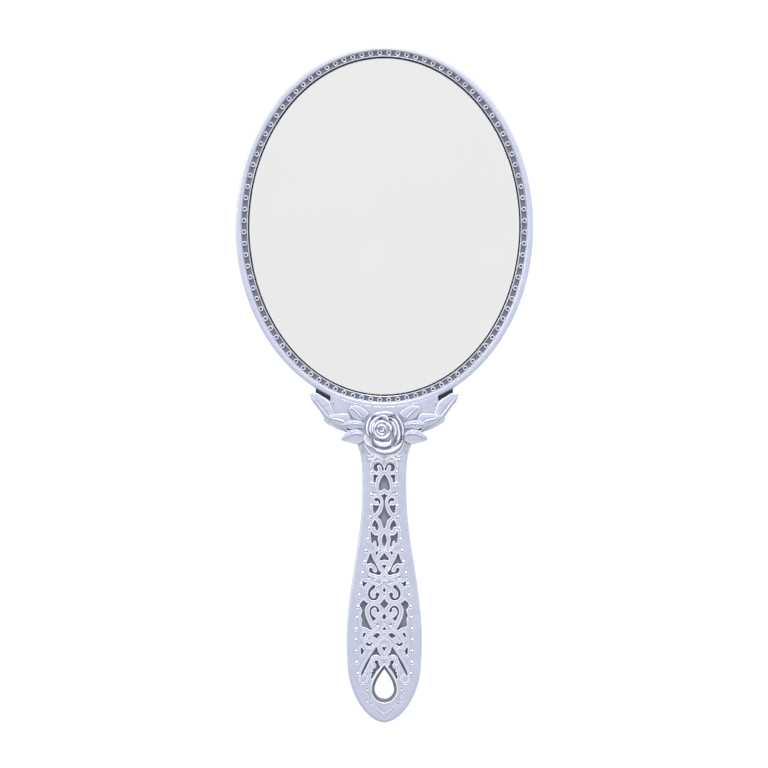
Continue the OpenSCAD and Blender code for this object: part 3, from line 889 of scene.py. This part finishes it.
back_parts, at, n_out, n_in = build_back()
fill_between(back_parts, at, n_out, n_in)
back_parts.build("back_half", SILVER, replaces=["back_shell"])


# ---- Rose, leaves and curl ----------------------------------------------------------
CALYX_LO, CALYX_HI = box_mm("rose_calyx")
ROSE = np.array([0.0, (CALYX_LO[1] + CALYX_HI[1]) / 2])
ROSE_R = (CALYX_HI[0] - CALYX_LO[0]) / 2


def band_along(parts, points, profile, step=0.15, taper=6.0, least=0.2):
    """A closed band along a smooth path; profile rows are (offset to the left, height, tone)."""
    path = spline(points, step)
    normals = left_normals(path)
    s = np.linspace(0, 1, len(path))
    w = np.clip(np.minimum(s, 1 - s) * taper, least, 1)
    rings = np.array([with_z(path + normals * (w * d)[:, None], z) for d, z, _ in profile])
    tones = np.tile([t for _, _, t in profile], len(path))
    parts.loft(rings.transpose(1, 0, 2), tones, cap_ends=True)


def petal(parts, lip, z, lip_w, reach, drop):
    """A petal rolled over at its lip: a short outer wall in painted shade, the lip with a painted highlight,
    and a slope down inside it that darkens as painted shade.
    """
    points = np.array(lip, float)
    mid = points[len(points) // 2]
    left = left_normals(points)[len(points) // 2]
    if np.dot(left, ROSE - mid) < 0:
        points = points[::-1]
    profile = [(-0.55, FRAME_TOP, 0.15), (-0.42, z - 0.55, 0.38), (-0.2, z - 0.12, 0.75), (0, z, 1.0),
               (lip_w * 0.6, z + 0.02, 1.0), (lip_w, z - 0.12, 0.72),
               (lip_w + reach * 0.35, z - drop * 0.5, 0.56), (lip_w + reach * 0.75, z - drop * 0.9, 0.42),
               (lip_w + reach, z - drop, 0.25), (lip_w + reach, FRAME_TOP, 0.05)]
    band_along(parts, points, profile, step=0.2, taper=5.0, least=0.3)


# Lip path, height above the frame, width of the lip, reach of the slope inside it and its drop
OUTER_PETALS = [
    ([(-4.6, -23.0), (-3.2, -24.4), (-1.5, -25.2), (0.5, -25.5), (2.8, -25.1), (4.8, -24.0), (6.2, -22.5),
      (6.8, -20.8)], 1.4, 0.9, 1.3, 0.9),
    ([(-6.6, -18.4), (-7.3, -20.2), (-6.8, -21.8), (-5.6, -22.9), (-4.3, -23.4)], 1.0, 0.3, 2.6, 0.3),
    ([(-4.3, -11.8), (-5.6, -13.3), (-6.3, -15.2), (-6.5, -17.2), (-5.9, -18.9), (-4.8, -19.6)],
     1.6, 0.4, 1.0, 1.0),
    ([(3.7, -11.0), (5.2, -12.8), (6.3, -14.7), (6.9, -16.7), (6.9, -18.6), (6.6, -20.4)],
     1.5, 0.3, 0.9, 0.9),
    ([(-4.4, -11.9), (-3.0, -11.1), (-1.2, -10.8), (1.2, -10.7), (3.6, -11.2)], 1.3, 0.3, 1.2, 0.5),
]
MIDDLE_PETALS = [
    ([(-3.9, -20.6), (-3.1, -21.9), (-1.6, -22.9), (0.4, -23.1), (2.1, -22.3), (2.6, -20.7)],
     2.5, 1.1, 1.0, 0.9),
    ([(-1.2, -12.2), (-2.8, -12.7), (-4.3, -14.0), (-5.1, -15.7), (-5.2, -17.6), (-4.5, -19.2)],
     2.3, 0.35, 1.1, 0.7),
    ([(1.9, -12.5), (3.7, -13.4), (4.9, -15.1), (5.4, -17.2), (5.6, -19.2), (5.1, -21.4), (4.0, -22.4)],
     2.2, 0.35, 1.1, 0.8),
    ([(-1.6, -12.0), (0.0, -11.9), (1.2, -12.7), (1.5, -14.0)], 2.1, 0.3, 1.0, 0.6),
    ([(2.2, -13.8), (3.4, -14.9), (4.1, -16.6), (4.2, -18.4), (3.6, -20.0)], 2.6, 0.3, 1.0, 0.8),
    ([(-3.4, -14.1), (-4.2, -15.6), (-4.3, -17.2), (-3.9, -18.6)], 2.6, 0.3, 0.8, 0.8),
]
HEART_PETALS = [
    ([(-3.7, -16.6), (-3.5, -18.3), (-2.5, -19.6), (-1.0, -20.2), (0.6, -19.9), (1.7, -18.8), (2.2, -17.4)],
     3.2, 0.35, 1.1, 0.6),
    ([(2.4, -17.6), (2.5, -16.2), (1.6, -15.0), (0.3, -14.4)], 3.1, 0.5, 0.9, 0.7),
    ([(0.8, -14.6), (-0.8, -13.9), (-2.3, -14.3), (-3.4, -15.6), (-3.6, -16.9)], 3.2, 0.35, 1.0, 0.7),
    ([(-2.6, -16.6), (-2.5, -17.8), (-1.6, -18.7), (-0.4, -18.8), (0.4, -18.0)], 3.5, 0.25, 0.7, 0.6),
    ([(0.7, -17.4), (0.4, -16.0), (-0.8, -15.3), (-2.0, -15.7), (-2.5, -16.6)], 3.5, 0.25, 0.7, 0.6),
    ([(-1.6, -16.9), (-1.0, -17.7), (-0.3, -17.3), (-0.4, -16.6), (-1.0, -16.3)], 3.6, 0.15, 0.3, 0.5),
]


def build_petals(petals, base_r, base_z, centre):
    """A layer of the rose: a low dome with its petals standing on it."""
    parts = Parts()
    turn = np.linspace(0, 2 * math.pi, 40, endpoint=False)
    rim = np.stack([np.cos(turn), np.sin(turn)], 1)
    # The dome's low tones are painted shade under the petals
    dome = [(base_r, FRAME_TOP - 0.2, 0.2), (base_r, base_z - 0.4, 0.3), (base_r * 0.9, base_z - 0.1, 0.42),
            (base_r * 0.5, base_z, 0.42), (0.02, base_z, 0.38)]
    parts.loft([with_z(centre + rim * r, z) for r, z, _ in dome], [t for _, _, t in dome], cap_ends=True)
    for lip, rise, lip_w, reach, drop in petals:
        petal(parts, lip, FRAME_TOP + rise, lip_w, reach, drop)
    return parts


HEART = ROSE + [-0.8, 0.8]  # the heart sits a little off centre
outer = build_petals(OUTER_PETALS, ROSE_R - 0.9, FRAME_TOP + 0.6, ROSE)
outer.build("rose_outer", SILVER, replaces=["rose_calyx"])
middle = build_petals(MIDDLE_PETALS, 5.0, FRAME_TOP + 1.4, ROSE)
middle.build("rose_middle", SILVER, replaces=["rose_petals"])
heart = build_petals(HEART_PETALS, 2.9, FRAME_TOP + 2.5, HEART)
heart.build("rose_heart", SILVER, replaces=["rose_bud"])


def resample(points, n):
    """n points at equal steps along the smooth path."""
    p = spline(points, 0.1)
    at = np.concatenate([[0], np.cumsum(np.linalg.norm(np.diff(p, axis=0), axis=1))])
    to = np.linspace(0, at[-1], n)
    return np.stack([np.interp(to, at, p[:, 0]), np.interp(to, at, p[:, 1])], 1)


# Places across a leaf, from one edge (-1) over the midrib (0) to the other (1), closer together near the rib
LEAF_ACROSS = np.array([-1, -0.96, -0.88, -0.76, -0.6, -0.44, -0.3, -0.2, -0.13, -0.07])
LEAF_ACROSS = np.concatenate([LEAF_ACROSS, [0], -LEAF_ACROSS[::-1]])
LEAF_DEPTH = 2.5


def leaf_mesh(parts, edge_a, rib, edge_b, z, crown):
    """A leaf between two edges that meet at its tip, with a raised midrib, faint veins and a crisp rim; its
    tone paints highlights on midrib and rim, and shade in the grooves and a dark line along the edge.
    """
    n = 56
    a, m, b = (resample(line, n) for line in (edge_a, rib, edge_b))
    t = LEAF_ACROSS
    rings, tones = [], []
    for j in range(n):
        s = j / (n - 1)
        ends = min(1.0, 6 * min(s, 1 - s) + 0.15)
        p = m[j] + np.outer(np.maximum(t, 0), a[j] - m[j]) + np.outer(np.maximum(-t, 0), b[j] - m[j])
        rib_line, groove = bump(t, 0, 0.075), bump(np.abs(t), 0.19, 0.07)
        rim, fall = bump(np.abs(t), 0.9, 0.07), bump(np.abs(t), 1, 0.03)
        vein = np.cos(2 * math.pi * (s * 8 - np.abs(t) * 1.2)) * np.abs(t) * (1 - np.abs(t)) * 4
        domed = crown * (1 - 0.8 * t ** 2)
        h = ends * (domed + 0.3 * rib_line - 0.1 * groove + 0.14 * rim + 0.025 * vein) - 0.3 * fall
        # Painted highlights on the midrib and rim, painted shade in the grooves, the edge line and
        # underneath
        tone = 0.5 + 0.34 * rib_line - 0.28 * groove + 0.3 * rim - 0.5 * fall + 0.04 * vein
        under = p[[-1, 0]]
        rings.append(np.vstack([with_z(p, z + h), with_z(under, FRAME_TOP - LEAF_DEPTH)]))
        tones.append(np.concatenate([tone, [0.1, 0.1]]))
    parts.loft(rings, np.clip(np.array(tones), 0, 1).reshape(-1), cap_ends=True)


# Inner edge, midrib and outer edge of each leaf, tip first, then its height above the frame and its crown
LEAVES = [
    ([(27.5, -3.9), (25, -3.5), (22.5, -4.9), (20.2, -6.4), (19.2, -8.6), (18.4, -11), (16.6, -14.3),
      (13.6, -17.8)],
     [(27.5, -3.9), (24.9, -7.2), (22.9, -10), (21.1, -12.1), (18.6, -14.3), (15.8, -16.3), (13.6, -17.9)],
     [(27.5, -3.9), (26.6, -6.6), (25, -8.6), (23.6, -10.6), (22.5, -12.3), (22.4, -13.4), (21.5, -14.7),
      (20, -15.6), (18, -16.7), (16, -17.4), (13.6, -18.1)], 0.1, 0.5),
    ([(20.9, -12), (19, -11.5), (17, -11.2), (15, -11.1), (13, -11.3), (12.4, -12.8), (12.4, -15)],
     [(20.9, -12), (19.2, -12.9), (17.2, -13.4), (15.2, -14), (13.6, -15.2)],
     [(20.9, -12), (19.4, -13.6), (17.6, -14.9), (15.6, -16.2), (13.7, -17.7)], 0.55, 0.45),
    ([(13.2, -8.6), (10.4, -8.1), (7.6, -9.2), (5.6, -11.0), (6.8, -12.5), (7.7, -13.7)],
     [(13.2, -8.6), (11.2, -9.7), (9.8, -11), (8.7, -12.3), (7.8, -13.7)],
     [(13.2, -8.6), (12.9, -10.5), (12.2, -11.8), (11.2, -12.9), (9.6, -13.6), (7.9, -13.9)], 0.75, 0.45),
    ([(15.6, -15.5), (14.4, -14.4), (12.6, -13.7), (10.4, -13.6), (8.4, -14.0), (7.2, -15.0)],
     [(15.6, -15.5), (13.4, -15.1), (11.4, -14.9), (9.4, -15.0), (7.3, -15.6)],
     [(15.6, -15.5), (14.0, -16.3), (12.2, -17.0), (10.2, -16.6), (8.6, -16.6), (7.4, -16.6)], 0.9, 0.45),
    ([(16, -20.4), (15.4, -19.2), (14.2, -18.2), (12.4, -17.2), (10.2, -16.9), (8.4, -17.6), (7.2, -18.8)],
     [(16, -20.4), (14.6, -20.0), (12.9, -19.1), (11.0, -18.3), (9.2, -18.4), (7.4, -19.2)],
     [(16, -20.4), (15.4, -21.2), (13.2, -21.8), (11.0, -22.3), (9.0, -22.2), (7.4, -21.0)], 0.8, 0.5),
    ([(7.6, -25.8), (7.5, -24.4), (7.6, -23), (7.4, -21.6)],
     [(7.6, -25.8), (8.0, -24), (8.1, -22.6), (7.9, -21.6)],
     [(7.6, -25.8), (8.7, -24.2), (9.0, -22.8), (8.6, -21.6)], 0.1, 0.35),
]


def build_leaves(sign):
    """The spray of leaves on one side: sign is -1 for the left and 1 for the right."""
    parts = Parts()
    for edge_a, rib, edge_b, z, crown in LEAVES:
        lines = [np.array(line, float) * [sign, 1] for line in (edge_a, rib, edge_b)]
        if sign > 0:
            lines = lines[::-1]
        leaf_mesh(parts, *lines, FRAME_TOP + z, crown)
    return parts


build_leaves(-1).build("leaves_left", SILVER, replaces=["leaf_spray_left"])
build_leaves(1).build("leaves_right", SILVER, replaces=["leaf_spray_right"])

# Curls between the rose and the openwork, right half: path and width
CURLS = [
    ([(0, -28.5), (1.4, -27.5), (3.0, -27.1), (4.4, -27.9), (5.6, -27.9), (6.4, -27.4)], 1.0),
    ([(0, -26.9), (1.8, -26.5), (3.4, -26.5), (4.9, -25.7), (6.1, -24.4), (7.0, -22.8), (7.2, -21.4)], 1.0),
    ([(2.6, -26.4), (4.0, -26.2), (5.2, -26.8), (6.4, -26.4)], 0.9),
    ([(3.2, -27.4), (4.2, -28.6), (4.8, -29.8), (4.9, -31.4)], 0.8),
    ([(0.2, -29.5), (1.2, -28.7), (2.6, -28.6), (3.9, -29.2)], 0.7),
]


def build_curl():
    """The curls, each a band with two raised edges, sunk a little into the neck."""
    parts = Parts()
    rise, sunk = 0.55, 0.3
    # Distance across in widths, height in rises and tone; the tone is a painted highlight on the two crests
    # and painted shade at the feet
    shape = [(-0.5, 0, 0.15), (-0.44, 0.7, 0.7), (-0.3, 1.0, 1.0), (-0.12, 0.85, 0.7), (0.12, 0.85, 0.6),
             (0.3, 1.0, 1.0), (0.44, 0.7, 0.7), (0.5, 0, 0.15)]
    for points, width in CURLS:
        profile = [(d * width, LEVEL - sunk + (rise + sunk) * h, tone) for d, h, tone in shape]
        for sign in (-1, 1):
            band_along(parts, np.array(points) * [sign, 1], profile, taper=8)
    return parts


build_curl().build("neck_curl", SILVER, replaces=["neck_scroll"])

# ---- Floor, light, camera -------------------------------------------------------------


def build_floor():
    """A wide pale floor just under the mirror, lit a little from within so that it is near white."""
    mesh = bpy.data.meshes.new("floor")
    size, n, below, glow = 3.0, 12, 0.0002, 0.9
    row = n + 1
    steps = [-size + 2 * size * i / n for i in range(row)]
    verts = [(x, y, -below) for y in steps for x in steps]
    corners = [j * row + i for j in range(n) for i in range(n)]
    faces = [(c, c + 1, c + row + 1, c + row) for c in corners]
    mesh.from_pydata(verts, [], faces)
    obj = bpy.data.objects.new("floor", mesh)
    bpy.context.scene.collection.objects.link(obj)
    mesh.materials.append(FLOOR)
    bsdf = FLOOR.node_tree.nodes["Principled BSDF"]
    bsdf.inputs["Emission Color"].default_value = (1, 1, 1, 1)
    bsdf.inputs["Emission Strength"].default_value = glow


build_floor()


def build_world():
    """A soft bright room: brightest past the head, dimmer overhead and dimmer still past the handle."""
    slope, base = (0.15, 0.50, 0.20), 0.77
    ends = (0, 0.75, 0)
    dimmest, brightest = 0.35, 1.5
    world = bpy.data.worlds.new("studio")
    bpy.context.scene.world = world
    world.use_nodes = True
    tree = world.node_tree
    tree.nodes.clear()
    out = tree.nodes.new("ShaderNodeOutputWorld")
    back = tree.nodes.new("ShaderNodeBackground")
    coord = tree.nodes.new("ShaderNodeTexCoord")
    dot = tree.nodes.new("ShaderNodeVectorMath")
    dot.operation = "DOT_PRODUCT"
    dot.inputs[1].default_value = slope
    plus = tree.nodes.new("ShaderNodeMath")
    plus.inputs[1].default_value = base
    along = tree.nodes.new("ShaderNodeVectorMath")
    along.operation = "DOT_PRODUCT"
    along.inputs[1].default_value = ends
    square = tree.nodes.new("ShaderNodeMath")
    square.operation = "MULTIPLY"
    total = tree.nodes.new("ShaderNodeMath")
    clamp = tree.nodes.new("ShaderNodeClamp")
    clamp.inputs["Min"].default_value = dimmest
    clamp.inputs["Max"].default_value = brightest
    tree.links.new(coord.outputs["Generated"], dot.inputs[0])
    tree.links.new(dot.outputs["Value"], plus.inputs[0])
    tree.links.new(coord.outputs["Generated"], along.inputs[0])
    tree.links.new(along.outputs["Value"], square.inputs[0])
    tree.links.new(along.outputs["Value"], square.inputs[1])
    tree.links.new(plus.outputs[0], total.inputs[0])
    tree.links.new(square.outputs[0], total.inputs[1])
    tree.links.new(total.outputs[0], clamp.inputs["Value"])
    tree.links.new(clamp.outputs[0], back.inputs["Strength"])
    back.inputs["Color"].default_value = (1, 1, 1, 1)
    tree.links.new(back.outputs[0], out.inputs[0])


build_world()


def area_light(name, place, target, size, power):
    """A square lamp that faces the target."""
    data = bpy.data.lights.new(name, "AREA")
    data.size = size
    data.energy = power
    obj = bpy.data.objects.new(name, data)
    obj.location = place
    obj.rotation_euler = (Vector(target) - Vector(place)).to_track_quat("-Z", "Y").to_euler()
    bpy.context.scene.collection.objects.link(obj)


area_light("key", place=(0.1, 1.5, 0.9), target=(0, 0, 0), size=0.5, power=18)
area_light("fill", place=(-1.0, 0.4, 0.7), target=(0, 0, 0), size=0.5, power=5)


def build_camera():
    """Straight above the mirror, far enough away to look flat, with the head at the top."""
    data = bpy.data.cameras.new("camera")
    data.lens = 300
    obj = bpy.data.objects.new("camera", data)
    frame_width = 0.2825
    aim_x, aim_y = -0.00011, -0.00026
    distance = frame_width * data.lens / data.sensor_width
    obj.location = (aim_x, aim_y, FRAME_TOP * MM + distance)
    bpy.context.scene.collection.objects.link(obj)
    bpy.context.scene.camera = obj


build_camera()
bpy.context.scene.view_settings.view_transform = "Standard"
